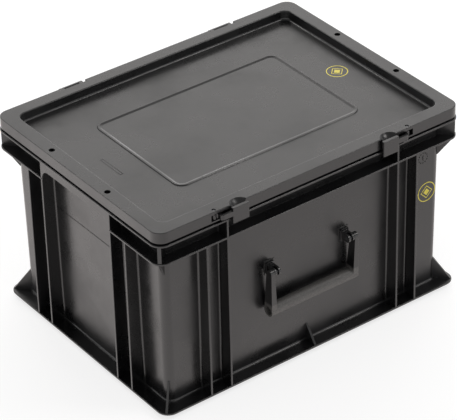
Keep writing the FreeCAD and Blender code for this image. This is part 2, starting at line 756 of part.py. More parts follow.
def lid():
    """The lid with its pockets, notches, knuckles and seal holes."""
    solids = [lid_tray(), field_bead()] + lid_underside()
    removed = []
    knuckles = []
    bores = []
    for side in (-1, 1):
        pocket_solids, pocket_cuts = latch_pockets(side)
        notch_solids, notch, notch_knuckles, bore = hinge_notch(side)
        solids += pocket_solids + notch_solids
        removed += pocket_cuts + [notch]
        knuckles += notch_knuckles
        bores.append(bore)
        for end in (-1, 1):
            removed.append(
                rod(
                    f"SealHole{side}{end}", "z", (f"{side} * seal_hole_x", f"{end} * seal_hole_y"),
                    ("skirt_low", "case_height + overshoot"), "seal_hole",
                )
            )
    hollow = cut("LidHollow", fuse("LidFused", solids), removed)
    return piece("lid", cut("Lid", fuse("LidKnuckled", [hollow] + knuckles), bores))


# Latches: each swings outwards about an upright pin in the lid, and its plate hangs over the rim

def latch(side):
    """A latch: an eye on the pin, an arm and the plate that the fingers pull."""
    name = "Left" if side < 0 else "Right"

    def along(distance):
        return f"{side} * (latch_pin_x - ({distance}))"

    arm_ends = ("rim_top + latch_arm_low", "rim_top + latch_arm_low + latch_arm_high")
    eye = rod(f"LatchEye{name}", "z", (along("0"), "-latch_pin_y"), arm_ends, "latch_eye")
    back = "-(latch_front - latch_thick)"
    arm = prism(
        f"LatchArm{name}", "XY",
        [
            (along("0"), "-latch_pin_y"),
            (along("latch_neck"), "-(latch_pin_y + latch_eye / 2)"),
            (along("latch_neck"), "-latch_front"),
            (along("latch_near + latch_round"), "-latch_front"),
            (along("latch_near + latch_round"), back),
            (along("latch_neck + latch_neck_wide"), back),
            (along("latch_neck + latch_neck_wide"), "-(latch_pin_y - latch_eye / 2)"),
            (along("0"), "-(latch_pin_y - latch_eye / 2)"),
        ],
        arm_ends, [("latch_bend", (2, 6))],
    )
    far = "latch_near + latch_wide"
    body = prism(
        f"LatchPlate{name}", "XY",
        [
            (along("latch_near"), "-latch_front"), (along(far), "-latch_front"),
            (along(far), back), (along("latch_near"), back),
        ],
        ("rim_top - latch_bottom", "case_height - latch_top"), [("latch_round", (0, 1))],
    )
    front = body.Tip.Shape.BoundBox.YMin
    soften(
        body, "latch_round / 2",
        lambda edge: abs(edge.BoundBox.YMin - front) < TOUCH and edge.BoundBox.ZLength < TOUCH,
    )
    nose_ends = [along("latch_near + latch_round"), along(f"{far} - latch_round")]
    nose = box(
        f"LatchNose{name}", nose_ends[::-side],
        span(-1, "case_width / 2 + play", "latch_front - latch_thick / 2"),
        ("rim_under - play - nose_high", "rim_under - play"),
    )
    bore = rod(
        f"LatchBore{name}", "z", (along("0"), "-latch_pin_y"),
        (f"{arm_ends[0]} - overshoot", f"{arm_ends[1]} + overshoot"),
        "latch_pin + 2 * fit_play",
    )
    whole = cut(f"Latch{name}", fuse(f"LatchSolid{name}", [eye, arm, body, nose]), [bore])
    piece(f"latch_{name.lower()}", whole)
    pin = rod(
        f"LatchPin{name}", "z", (along("0"), "-latch_pin_y"),
        ("skirt_low", "case_height - latch_pin_sink"), "latch_pin",
    )
    piece(f"latch_pin_{name.lower()}", pin)


# Hinges: a clip on the rear rim holds the middle of the barrel, the lid's knuckles its ends

def hinge(side):
    """A hinge clip with its hooks over and under the rim, and the pin through the barrel."""
    name = "Left" if side < 0 else "Right"
    middle = f"{side} * hinge_x"
    barrel_half = "(hinge_long / 2 - knuckle_long - play)"
    wide = around(middle, "clip_wide")
    hooked = ("case_width / 2 - clip_hook", "case_width / 2 + clip_thick")
    barrel = rod(
        f"Barrel{name}", "x", ("hinge_axis_y", "hinge_axis_z"), around(middle, f"2 * {barrel_half}"),
        "knuckle",
    )
    back = box(
        f"ClipBack{name}", wide, ("case_width / 2", "case_width / 2 + clip_thick"),
        ("rim_under - clip_lower", "hinge_axis_z"),
    )
    upper = box(f"ClipUpper{name}", wide, hooked, ("rim_top", "rim_top + clip_upper"))
    lower = box(f"ClipLower{name}", wide, hooked, ("rim_under - clip_lower", "rim_under"))
    bore = rod(
        f"BarrelBore{name}", "x", ("hinge_axis_y", "hinge_axis_z"), around(middle, "hinge_long"),
        "hinge_pin + 2 * fit_play",
    )
    whole = cut(f"HingeClip{name}", fuse(f"HingeClipSolid{name}", [barrel, back, upper, lower]), [bore])
    piece(f"hinge_clip_{name.lower()}", whole)
    pin = rod(
        f"HingePin{name}", "x", ("hinge_axis_y", "hinge_axis_z"), around(middle, "hinge_long"), "hinge_pin"
    )
    piece(f"hinge_pin_{name.lower()}", pin)


# Handle: a hollow grip between two arms that hang from brackets screwed to the front wall

def handle():
    """The moulded bail handle."""
    grip_middle = ("-(handle_axis_y - grip_back)", "handle_axis_z - handle_drop")
    solids = [rod("Grip", "x", grip_middle, ("-handle_x", "handle_x"), "grip_size")]
    bores = [
        rod("GripBore", "x", grip_middle, ("-handle_x - overshoot", "handle_x + overshoot"), "grip_bore")
    ]
    for side in (-1, 1):
        across = span(side, "handle_x - arm_thick", "handle_x")
        solids.append(rod(f"ArmHead{side}", "x", ("-handle_axis_y", "handle_axis_z"), across, "arm_head"))
        grip_y, grip_z = grip_middle
        foot_half = "grip_size / 2 - arm_tuck"
        profile = prism(
            f"ArmProfile{side}", "YZ",
            [
                ("-handle_axis_y - arm_head / 2", "handle_axis_z"), (f"{grip_y} - ({foot_half})", grip_z),
                (f"{grip_y} + {foot_half}", grip_z), ("-handle_axis_y + arm_head / 2", "handle_axis_z"),
            ],
            span(side, "handle_x - arm_foot", "handle_x"),
        )
        front = prism(
            f"ArmFront{side}", "XZ",
            [
                (f"{side} * handle_x", "handle_axis_z"), (f"{side} * handle_x", grip_z),
                (f"{side} * (handle_x - arm_foot)", grip_z),
                (f"{side} * (handle_x - arm_thick)", "handle_axis_z"),
            ],
            span(-1, "wall_y", "latch_front"),
        )
        solids.append(common(f"Arm{side}", [profile, front]))
        bores.append(
            rod(
                f"PivotBore{side}", "x", ("-handle_axis_y", "handle_axis_z"),
                span(side, "handle_x - arm_thick - overshoot", "handle_x - arm_thick + pivot_reach + play"),
                "pivot_pin + 2 * fit_play",
            )
        )
    return piece("handle", cut("Handle", fuse("HandleSolid", solids), bores))


def handle_bracket(side):
    """A bracket with a rounded base and two cheeks, its pivot pin, and the screw and washer that hold it."""
    name = "Left" if side < 0 else "Right"
    pivot = ("-handle_axis_y", "handle_axis_z")
    middle = (f"{side} * bracket_x", "handle_axis_z")
    x_ends = around(middle[0], "base_wide")
    z_ends = around(middle[1], "base_high")
    base = prism(
        f"BracketBase{name}", "XZ",
        [(x_ends[0], z_ends[0]), (x_ends[1], z_ends[0]), (x_ends[1], z_ends[1]), (x_ends[0], z_ends[1])],
        span(-1, "seat_y", "seat_y + base_thick"), [("base_round", range(4))],
    )
    hub = box(
        f"BracketHub{name}", span(side, "cheek_inner", "cheek_outer"),
        span(-1, "seat_y + base_thick / 2", "handle_axis_y - cheek_size / 2"),
        around("handle_axis_z", "cheek_size"),
    )
    solids = [base, hub]
    for start in ("cheek_inner", "cheek_outer - cheek_thick"):
        across = span(side, start, f"{start} + cheek_thick")
        solids.append(rod(f"Cheek{len(solids)}{name}", "x", pivot, across, "cheek_size"))
        solids.append(
            box(
                f"CheekRoot{len(solids)}{name}", across, span(-1, "seat_y + base_thick / 2", "handle_axis_y"),
                around("handle_axis_z", "cheek_size"),
            )
        )
    bores = [
        rod(
            f"CheekBore{name}", "x", pivot, span(side, "cheek_inner - overshoot", "cheek_outer + overshoot"),
            "pivot_pin",
        ),
        rod(f"BracketBore{name}", "y", middle, span(-1, "seat_y - overshoot", "screw_tip"), "handle_screw"),
    ]
    whole = cut(f"Bracket{name}", fuse(f"BracketSolid{name}", solids), bores)
    piece(f"handle_bracket_{name.lower()}", whole)
    pin = rod(
        f"PivotPin{name}", "x", pivot, span(side, "cheek_inner", "handle_x - arm_thick + pivot_reach"),
        "pivot_pin",
    )
    piece(f"handle_pin_{name.lower()}", pin)
    washer = cut(
        f"Washer{name}",
        rod(
            f"WasherDisc{name}", "y", middle, span(-1, "seat_inner - washer_thick", "seat_inner"),
            "washer_size",
        ),
        [
            rod(
                f"WasherHole{name}", "y", middle,
                span(-1, "seat_inner - washer_thick - overshoot", "seat_inner + overshoot"),
                "handle_screw + 2 * play",
            )
        ],
    )
    piece(f"handle_washer_{name.lower()}", washer)
    under_head = "seat_inner - washer_thick"
    head_inner = f"{under_head} - screw_head_high"
    shank = rod(
        f"ScrewShank{name}", "y", middle, span(-1, f"{under_head} - screw_head_high / 2", "screw_tip"),
        "handle_screw",
    )
    head = rod(f"ScrewHead{name}", "y", middle, span(-1, head_inner, under_head), "screw_head")
    piece(f"handle_screw_{name.lower()}", fuse(f"Screw{name}", [shank, head]))


def check_and_write():
    """Stop on any failed object or bad shape, then write one file for each piece."""
    doc.recompute()
    for thing in doc.Objects:
        faults = {"Invalid", "Error"} & set(thing.State)
        if faults:
            raise RuntimeError(f"{thing.Name} is {', '.join(sorted(faults))}")
    for whole in pieces:
        shape = whole.Shape
        if shape.isNull() or not shape.isValid():
            raise RuntimeError(f"{whole.Label} has a bad shape")
        if len(shape.Solids) != 1:
            raise RuntimeError(f"{whole.Label} is {len(shape.Solids)} solids")
    os.makedirs("parts", exist_ok=True)
    for whole in pieces:
        whole.Shape.exportStep(os.path.join("parts", whole.Label + ".step"))
        bounds = whole.Shape.BoundBox
        print(f"{whole.Label}: {whole.Shape.Volume / 1000:.1f} cm3, {bounds}")


container()
lid()
for side in (-1, 1):
    latch(side)
    hinge(side)
handle()
for side in (-1, 1):
    handle_bracket(side)
check_and_write()
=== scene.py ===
import json
import math

import bpy
from mathutils import Matrix, Vector


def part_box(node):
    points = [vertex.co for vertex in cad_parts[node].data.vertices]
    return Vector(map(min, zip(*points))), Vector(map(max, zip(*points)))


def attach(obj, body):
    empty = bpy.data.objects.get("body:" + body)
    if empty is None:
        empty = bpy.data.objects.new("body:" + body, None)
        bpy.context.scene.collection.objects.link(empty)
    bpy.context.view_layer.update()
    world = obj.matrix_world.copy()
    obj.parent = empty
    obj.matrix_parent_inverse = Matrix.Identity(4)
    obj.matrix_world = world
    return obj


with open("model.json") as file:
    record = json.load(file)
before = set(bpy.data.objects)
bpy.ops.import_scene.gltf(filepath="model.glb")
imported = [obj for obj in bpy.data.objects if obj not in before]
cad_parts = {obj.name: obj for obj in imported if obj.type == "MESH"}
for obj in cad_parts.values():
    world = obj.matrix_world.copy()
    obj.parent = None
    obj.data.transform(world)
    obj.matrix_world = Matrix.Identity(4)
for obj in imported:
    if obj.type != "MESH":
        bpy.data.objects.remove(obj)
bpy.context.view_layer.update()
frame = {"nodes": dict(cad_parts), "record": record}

bl_info = {
    "name": "Storage Case Finish",
    "version": (1, 0, 0),
    "blender": (4, 5, 0),
    "location": "3D View > Sidebar > Storage Case",
    "description": "Gives the storage case its moulded, metal and printed finish, and sets its studio",
    "category": "Object",
}

MM = 0.001
NODES = frame["nodes"]
RECORD = frame["record"]
SLOTS = {row["node"]: row["material_slot"] for row in RECORD["subparts"]}
LID_FLOOR = next(row["pos_m"][2] for row in RECORD["mounts"] if row["name"] == "stack_recess")
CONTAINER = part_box("container")

# The container's walls: how far inside its box, the round of their corners, the flange below and the draft
WALL_INSET = 15 * MM
WALL_CORNER = 9 * MM
FLANGE_TOP = 8.4 * MM
DRAFT = math.radians(0.5)
UPRIGHT = Matrix.Rotation(math.radians(90) + DRAFT, 4, "X")

# What the marks stand off their surface, and the height of the handle's grip where its arms begin
FILM_GAP = 0.02 * MM
GRIP_TOP = 86.5 * MM

# The plastic's patterns and edges
PLASTIC_IOR = 1.6
EDGE_ROUND = 0.35 * MM
CLOUD_MM = 70
SMEAR_MM = 9
SWELL_MM = 45
GRAIN_MM = 0.45
GRIP_GRAIN_MM = 1.3

# The fine marks
DIAL_DOTS = 12
DIAL_HIGH = 0.5 * MM
SEAM_WIDE, SEAM_HIGH = 0.7 * MM, 0.3 * MM
RELIEF_LINE, RELIEF_HIGH = 0.8 * MM, 0.25 * MM
RING_SIDES = 72

# The studio: glows are shares of plain white, and the pool is the bright stretch of floor that walls mirror
SEEN_GLOW = 0.72
POOL_WAY = (-0.59, 0.81, 0)
POOL_ENDS = (-0.35, 0.35)
POOL_GLOW = (0.95, 1.36)
ROOM_GLOW = 0.55
HORIZON_GLOW, CEILING_GLOW = 1.8, 0.3
DIMMING = (0.12, 0.36)
AIM = (0, 0, 0.12)
# Name, place, width, height and radiance of each soft box
SOFTBOXES = (
    ("back", (1.27, 1.67, 1.37), 2.4, 2.0, 1.32),
    ("front_right", (1.2, -1.0, 1.82), 0.7, 0.7, 6.0),
    ("left_back", (-0.48, 1.58, 1.73), 0.6, 0.6, 6.0),
    ("left_front", (-1.9, -1.3, 1.5), 0.8, 0.8, 0.8),
)


# Shared helpers

def linear(colour):
    """A linear colour from an sRGB hex text."""
    def channel(value):
        return value / 12.92 if value <= 0.04045 else ((value + 0.055) / 1.055) ** 2.4

    return [channel(int(colour[n:n + 2], 16) / 255) for n in (1, 3, 5)] + [1.0]


def add_node(tree, kind, inputs=None, **settings):
    """A node with its settings, each input given as a value or as the output that it is linked to."""
    made = tree.nodes.new(kind)
    for name, value in settings.items():
        setattr(made, name, value)
    for name, value in (inputs or {}).items():
        if isinstance(value, bpy.types.NodeSocket):
            tree.links.new(value, made.inputs[name])
        else:
            made.inputs[name].default_value = value
    return made


def new_material(name):
    """An empty material and its node tree."""
    material = bpy.data.materials.new(name)
    material.use_nodes = True
    material.node_tree.nodes.clear()
    return material, material.node_tree


def noise(tree, place, size_mm, **inputs):
    """A noise pattern whose grain is about the given size on the object."""
    values = {"Vector": place, "Scale": 1 / (size_mm * MM)}
    values.update(inputs)
    return add_node(tree, "ShaderNodeTexNoise", values).outputs["Fac"]


def between(tree, factor, low, high, start=0.0, end=1.0):
    """The factor's stretch from start to end, mapped onto low to high."""
    return add_node(
        tree, "ShaderNodeMapRange",
        {"Value": factor, "From Min": start, "From Max": end, "To Min": low, "To Max": high},
    ).outputs["Result"]


# Materials

def moulded_polypropylene(colour):
    """Injection-moulded conductive polypropylene: satin black with flow clouds and a fine eroded grain."""
    material, tree = new_material("polypropylene_injection_moulded")
    place = add_node(tree, "ShaderNodeTexCoord").outputs["Object"]
    clouds = noise(tree, place, CLOUD_MM, Detail=3.0, Roughness=0.5)
    smears = noise(tree, place, SMEAR_MM, Detail=4.0, Roughness=0.6)
    grain = noise(tree, place, GRAIN_MM, Detail=2.0)
    pale = [value * 1.5 for value in linear(colour)[:3]] + [1.0]
    drift = between(tree, clouds, 0.0, 1.0, 0.38, 0.62)
    tint = add_node(
        tree, "ShaderNodeMix", {"Factor": drift, "A": linear(colour), "B": pale}, data_type="RGBA"
    ).outputs["Result"]
    rough_clouds = between(tree, clouds, 0.22, 0.38, 0.35, 0.65)
    rough_smears = between(tree, smears, -0.02, 0.03, 0.3, 0.7)
    rough = add_node(
        tree, "ShaderNodeMath", {0: rough_clouds, 1: rough_smears}, operation="ADD"
    ).outputs["Value"]
    edges = add_node(tree, "ShaderNodeBevel", {"Radius": EDGE_ROUND}, samples=6).outputs["Normal"]
    swell = noise(tree, place, SWELL_MM, Detail=1.0)
    waves = add_node(
        tree, "ShaderNodeBump", {"Height": swell, "Normal": edges, "Strength": 0.2, "Distance": 0.5 * MM}
    ).outputs["Normal"]
    relief = add_node(
        tree, "ShaderNodeBump", {"Height": grain, "Normal": waves, "Strength": 0.18, "Distance": 0.03 * MM}
    ).outputs["Normal"]
    shader = add_node(
        tree, "ShaderNodeBsdfPrincipled",
        {"Base Color": tint, "Roughness": rough, "Normal": relief, "IOR": PLASTIC_IOR},
    )
    add_node(tree, "ShaderNodeOutputMaterial", {"Surface": shader.outputs["BSDF"]})
    return material


def eroded_grip(colour):
    """The same plastic with the coarse spark-eroded grain of the grip; the arms above it stay smooth."""
    colours = bpy.context.scene.storage_case_colours
    material, tree = new_material("polypropylene_eroded_grip")
    place = add_node(tree, "ShaderNodeTexCoord").outputs["Object"]
    height = add_node(tree, "ShaderNodeSeparateXYZ", {"Vector": place}).outputs["Z"]
    grained = between(tree, height, 1.0, 0.0, GRIP_TOP - 1 * MM, GRIP_TOP + 1 * MM)
    grain = noise(tree, place, GRIP_GRAIN_MM, Detail=2.0, Roughness=0.7)
    spots = between(tree, grain, 0.55, 1.35, 0.35, 0.65)
    pale = add_node(tree, "ShaderNodeVectorMath", {0: linear(colour)[:3], "Scale": spots}, operation="SCALE")
    tint = add_node(
        tree, "ShaderNodeMix", {"Factor": grained, "A": linear(colours.plastic), "B": pale.outputs["Vector"]},
        data_type="RGBA",
    ).outputs["Result"]
    edges = add_node(tree, "ShaderNodeBevel", {"Radius": EDGE_ROUND}, samples=6).outputs["Normal"]
    relief = add_node(
        tree, "ShaderNodeBump", {"Height": grain, "Normal": edges, "Strength": 0.35, "Distance": 0.2 * MM}
    ).outputs["Normal"]
    shader = add_node(
        tree, "ShaderNodeBsdfPrincipled",
        {
            "Base Color": tint, "Roughness": between(tree, grained, 0.3, 0.52),
            "Normal": relief, "IOR": PLASTIC_IOR,
        },
    )
    add_node(tree, "ShaderNodeOutputMaterial", {"Surface": shader.outputs["BSDF"]})
    return material


def zinc_plated_steel(colour):
    """Turned steel with a thin grey zinc plating, slightly dull where it was handled."""
    material, tree = new_material("steel_zinc_plated")
    place = add_node(tree, "ShaderNodeTexCoord").outputs["Object"]
    dull = noise(tree, place, 1.6, Detail=3.0)
    shader = add_node(
        tree, "ShaderNodeBsdfPrincipled",
        {
            "Base Color": linear(colour), "Metallic": 1.0,
            "Roughness": between(tree, dull, 0.38, 0.55, 0.3, 0.7),
            "Normal": add_node(
                tree, "ShaderNodeBump",
                {"Height": noise(tree, place, 0.25, Detail=2.0), "Strength": 0.15, "Distance": 0.02 * MM},
            ).outputs["Normal"],
        },
    )
    add_node(tree, "ShaderNodeOutputMaterial", {"Surface": shader.outputs["BSDF"]})
    return material


def printed_ink(colour):
    """Pad-printed ink, a thin glossy film that thins out a little over the grain."""
    material, tree = new_material("ink_pad_printed")
    place = add_node(tree, "ShaderNodeTexCoord").outputs["Object"]
    thin = noise(tree, place, 0.8, Detail=3.0)
    worn = [value * 0.82 for value in linear(colour)[:3]] + [1.0]
    full = between(tree, thin, 0.0, 1.0, 0.35, 0.6)
    tint = add_node(
        tree, "ShaderNodeMix", {"Factor": full, "A": worn, "B": linear(colour)}, data_type="RGBA"
    ).outputs["Result"]
    shader = add_node(
        tree, "ShaderNodeBsdfPrincipled", {"Base Color": tint, "Roughness": between(tree, thin, 0.28, 0.4)}
    )
    add_node(tree, "ShaderNodeOutputMaterial", {"Surface": shader.outputs["BSDF"]})
    return material


MADE = {}


def finish_of(slot):
    """The material of a slot, made once."""
    colours = bpy.context.scene.storage_case_colours
    makers = {
        "case_plastic": (moulded_polypropylene, colours.plastic),
        "grip": (eroded_grip, colours.grip),
        "zinc_steel": (zinc_plated_steel, colours.steel),
        "print": (printed_ink, colours.ink),
    }
    if slot not in MADE:
        maker, colour = makers[slot]
        MADE[slot] = maker(colour)
    return MADE[slot]


# Modelling helpers

def flat_shape(sides, radius, stretch=(1, 1, 1), place=(0, 0, 0)):
    """Start a filled flat polygon and leave it selected in edit mode."""
    bpy.ops.object.select_all(action="DESELECT")
    bpy.ops.mesh.primitive_circle_add(vertices=sides, radius=radius, fill_type="NGON", location=place)
    bpy.ops.object.mode_set(mode="EDIT")
    bpy.ops.mesh.select_all(action="SELECT")
    bpy.ops.transform.resize(value=stretch)


def raise_shape(height):
    """Give the flat shape its thickness and leave edit mode."""
    bpy.ops.mesh.select_all(action="SELECT")
    bpy.ops.mesh.extrude_region_move(TRANSFORM_OT_translate={"value": (0, 0, height)})
    bpy.ops.mesh.select_all(action="SELECT")
    bpy.ops.mesh.normals_make_consistent(inside=False)
    bpy.ops.object.mode_set(mode="OBJECT")
    return bpy.context.object


def filled(sides, radius, height, **where):
    """A thin flat plate."""
    flat_shape(sides, radius, **where)
    return raise_shape(height)


def outlined(sides, radius, width, height, **where):
    """A thin flat line around a polygon."""
    flat_shape(sides, radius, **where)
    bpy.ops.mesh.inset(thickness=width)
    bpy.ops.mesh.delete(type="FACE")
    return raise_shape(height)


def flat_bar(length, width):
    """Start a flat bar along X and leave it selected in edit mode."""
    bpy.ops.object.select_all(action="DESELECT")
    bpy.ops.mesh.primitive_plane_add(size=1)
    bpy.ops.object.mode_set(mode="EDIT")
    bpy.ops.mesh.select_all(action="SELECT")
    bpy.ops.transform.resize(value=(length, width, 1))


def hoop(half, corner, profile, base):
    """A closed ring round the Z axis. Its profile lists (outwards, upwards) from a rounded rectangle."""
    out, up = profile[0]
    bpy.ops.object.select_all(action="DESELECT")
    bpy.ops.mesh.primitive_plane_add(size=2)
    bpy.ops.object.mode_set(mode="EDIT")
    bpy.ops.mesh.select_all(action="SELECT")
    bpy.ops.transform.resize(value=(half[0] + out, half[1] + out, 1))
    bpy.ops.mesh.bevel(offset=corner + out, segments=8, affect="VERTICES")
    bpy.ops.mesh.delete(type="ONLY_FACE")
    bpy.ops.mesh.select_all(action="SELECT")
    bpy.ops.transform.translate(value=(0, 0, base + up))
    for next_out, next_up in profile[1:]:
        bpy.ops.mesh.extrude_edges_move(TRANSFORM_OT_translate={"value": (0, 0, next_up - up)})
        grow = [(edge + next_out) / (edge + out) for edge in half]
        bpy.ops.transform.resize(value=(*grow, 1), center_override=(0, 0, 0))
        out, up = next_out, next_up
    bpy.ops.mesh.select_all(action="DESELECT")
    bpy.ops.mesh.select_non_manifold()
    bpy.ops.mesh.bridge_edge_loops()
    bpy.ops.mesh.select_all(action="SELECT")
    bpy.ops.mesh.normals_make_consistent(inside=False)
    bpy.ops.object.mode_set(mode="OBJECT")
    made = bpy.context.object
    if len(made.data.polygons) < len(profile) * 4:
        raise RuntimeError("the hoop has too few faces")
    return made


def settle(parts, name, matrix, body, finish):
    """Join the parts, bring them to their place in their mesh, and tie them to their body."""
    bpy.ops.object.select_all(action="DESELECT")
    for part in parts:
        part.select_set(True)
    bpy.context.view_layer.objects.active = parts[0]
    if len(parts) > 1:
        bpy.ops.object.join()
    made = bpy.context.object
    bpy.ops.object.transform_apply(location=True, rotation=True, scale=True)
    made.matrix_world = matrix
    bpy.ops.object.transform_apply(location=True, rotation=True, scale=True)
    made.name = name
    made.data.materials.clear()
    made.data.materials.append(finish_of(finish))
    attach(made, body)
    return made


def on_lid(place):
    """A place on the floor of the lid's recess, its local Z pointing up."""
    return Matrix.Translation((place[0], place[1], LID_FLOOR + FILM_GAP))


def on_front_wall(place):
    """A place on the drafted front wall, its local Z pointing out of the wall."""
    low, high = CONTAINER
    y = low[1] + WALL_INSET + math.tan(DRAFT) * (high[2] - place[1]) - FILM_GAP
    return Matrix.Translation((place[0], y, place[1])) @ UPRIGHT


def on_side_wall(side, place):
    """A place on a drafted short wall, its local X along the wall and its local Z pointing out of it."""
    low, high = CONTAINER
    x = high[0] - WALL_INSET - math.tan(DRAFT) * (high[2] - place[1]) + FILM_GAP
    turn = Matrix.Rotation(math.radians(90) * side, 4, "Z")
    return Matrix.Translation((side * x, place[0], place[1])) @ turn @ UPRIGHT


# Sizes and colours that a user may change

class CaseColours(bpy.types.PropertyGroup):
    """Colours as sRGB hex texts"""

    plastic: bpy.props.StringProperty(
        name="Plastic", description="sRGB colour of the mouldings", default="#0e0e0f"
    )
    grip: bpy.props.StringProperty(
        name="Grip", description="sRGB colour of the grained handle", default="#4e4c4a"
    )
    steel: bpy.props.StringProperty(
        name="Steel", description="sRGB colour of the plated pins", default="#5f6062"
    )
    ink: bpy.props.StringProperty(
        name="Ink", description="sRGB colour of the printed marks", default="#e8d84a"
    )


class CaseMarks(bpy.types.PropertyGroup):
    """The printed marks"""

    diameter: bpy.props.FloatProperty(
        name="Mark diameter", description="Outside of the printed ring", default=24.5 * MM, unit="LENGTH"
    )
    line: bpy.props.FloatProperty(
        name="Mark line", description="Width of the printed lines", default=1.1 * MM, unit="LENGTH"
    )
    film: bpy.props.FloatProperty(
        name="Ink film", description="Thickness of the printed film", default=0.06 * MM, unit="LENGTH"
    )
    lid_place: bpy.props.FloatVectorProperty(
        name="Lid mark", description="Middle of the mark on the lid, along X and Y", default=(0.1522, 0.0028),
        size=2, subtype="XYZ",
    )
    wall_place: bpy.props.FloatVectorProperty(
        name="Wall mark", description="Middle of the mark on the front wall, along X and Z",
        default=(0.1662, 0.130), size=2, subtype="XYZ",
    )


class CaseMould(bpy.types.PropertyGroup):
    """The fine forms that the mould gives"""

    dial_place: bpy.props.FloatVectorProperty(
        name="Date dial", description="Middle of the moulded dial on the front wall, along X and Z",
        default=(0.1604, 0.1756), size=2, subtype="XYZ",
    )
    dial: bpy.props.FloatProperty(
        name="Dial diameter", description="Outside of the moulded dial", default=14.5 * MM, unit="LENGTH"
    )
    relief_place: bpy.props.FloatVectorProperty(
        name="Lid relief", description="Middle of the slim relief on the lid, along X and Y",
        default=(-0.1515, 0.0), size=2, subtype="XYZ",
    )
    relief_long: bpy.props.FloatProperty(
        name="Relief length", description="Length of that relief, along Y", default=37 * MM, unit="LENGTH"
    )
    relief_wide: bpy.props.FloatProperty(
        name="Relief width", description="Width of that relief, along X", default=4 * MM, unit="LENGTH"
    )
    field: bpy.props.FloatVectorProperty(
        name="Lid field", description="Outside of the bead round the lid's field, along X and Y",
        default=(0.243, 0.157), size=2, subtype="XYZ",
    )
    field_bead: bpy.props.FloatProperty(
        name="Bead width", description="Width of that bead", default=2.6 * MM, unit="LENGTH"
    )
    field_corner: bpy.props.FloatProperty(
        name="Field corner", description="Radius inside that bead", default=9.4 * MM, unit="LENGTH"
    )
    slope: bpy.props.FloatProperty(
        name="Slope width", description="Width of the slope inside that bead", default=2.4 * MM, unit="LENGTH"
    )
    slope_high: bpy.props.FloatProperty(
        name="Slope height", description="Height of the slope at the bead", default=0.88 * MM, unit="LENGTH"
    )
    root: bpy.props.FloatProperty(
        name="Root radius", description="Round between the walls and the flange", default=2.2 * MM,
        unit="LENGTH",
    )
    seam_high: bpy.props.FloatProperty(
        name="Seam height", description="Floor to the mould's seam under the hand grips", default=0.157,
        unit="LENGTH",
    )
    seam_long: bpy.props.FloatProperty(
        name="Seam length", description="Length of that seam, along Y", default=0.118, unit="LENGTH"
    )


class CaseView(bpy.types.PropertyGroup):
    """The camera"""

    azimuth: bpy.props.FloatProperty(
        name="Azimuth", description="Camera's angle round the case", default=math.radians(-36.059),
        subtype="ANGLE",
    )
    elevation: bpy.props.FloatProperty(
        name="Elevation", description="Camera's angle above the floor", default=math.radians(33.712),
        subtype="ANGLE",
    )
    roll: bpy.props.FloatProperty(
        name="Roll", description="Camera's turn about its own axis", default=math.radians(-1.573),
        subtype="ANGLE",
    )
    distance: bpy.props.FloatProperty(
        name="Distance", description="From the camera to its target", default=2.8441, unit="LENGTH"
    )
    target: bpy.props.FloatVectorProperty(
        name="Target", description="Point that the camera looks at", default=(-0.0027, -0.00028, 0.10728),
        subtype="TRANSLATION",
    )
    lens: bpy.props.FloatProperty(name="Lens", description="Focal length in millimetres", default=204.8)


# Operators

class FinishMouldings(bpy.types.Operator):
    """Give the moulded and the metal pieces their materials"""

    bl_idname = "storage_case.finish_mouldings"
    bl_label = "Finish mouldings and metal"

    def execute(self, context):
        for name, thing in NODES.items():
            for place in thing.material_slots:
                place.material = finish_of("grip" if name == "handle" else SLOTS[name])
        return {"FINISHED"}


class PrintMarks(bpy.types.Operator):
    """Print a plain ring around a lozenge on the lid and on the front wall"""

    bl_idname = "storage_case.print_marks"
    bl_label = "Print the marks"

    def execute(self, context):
        marks = context.scene.storage_case_marks
        places = {
            "lid_mark": (on_lid(marks.lid_place), "lid"),
            "front_mark": (on_front_wall(marks.wall_place), "container"),
        }
        for name, (matrix, body) in places.items():
            settle(self.print_one(marks), name, matrix, body, "print")
        return {"FINISHED"}

    def print_one(self, marks):
        """The ring, the lozenge's outline and its filled middle."""
        radius = marks.diameter / 2
        return [
            outlined(RING_SIDES, radius, marks.line, marks.film),
            outlined(4, radius * 0.68, marks.line * 0.8, marks.film),
            filled(4, radius * 0.36, marks.film),
        ]


class RootFillet(bpy.types.Operator):
    """Run the rounded root between the walls and the bottom flange"""

    bl_idname = "storage_case.root_fillet"
    bl_label = "Root fillet"

    def execute(self, context):
        radius = context.scene.storage_case_mould.root
        low, high = CONTAINER
        shrink = WALL_INSET + math.tan(DRAFT) * (high[2] - FLANGE_TOP)
        half = (high[0] - shrink, high[1] - shrink)
        buried = 0.6 * MM
        steps = 6
        arc = [math.radians(90 / steps * step) for step in range(steps + 1)]
        profile = [(-buried, radius)]
        profile += [(radius * (1 - math.cos(a)), radius * (1 - math.sin(a))) for a in arc]
        profile += [(radius, -buried), (-buried, -buried)]
        made = hoop(half, WALL_CORNER, profile, FLANGE_TOP)
        settle([made], "root_fillet", Matrix(), "container", "case_plastic")
        bpy.ops.object.shade_smooth_by_angle(angle=math.radians(30))
        return {"FINISHED"}


class FieldSlope(bpy.types.Operator):
    """Slope the lid's field down inside its bead"""

    bl_idname = "storage_case.field_slope"
    bl_label = "Field slope"

    def execute(self, context):
        mould = context.scene.storage_case_mould
        half = [edge / 2 - mould.field_bead for edge in mould.field]
        buried = 0.5 * MM
        profile = [(-mould.slope, 0), (buried, mould.slope_high), (buried, -buried), (-mould.slope, -buried)]
        made = hoop(half, mould.field_corner, profile, LID_FLOOR)
        settle([made], "field_slope", Matrix(), "lid", "case_plastic")
        bpy.ops.object.shade_smooth_by_angle(angle=math.radians(30))
        return {"FINISHED"}


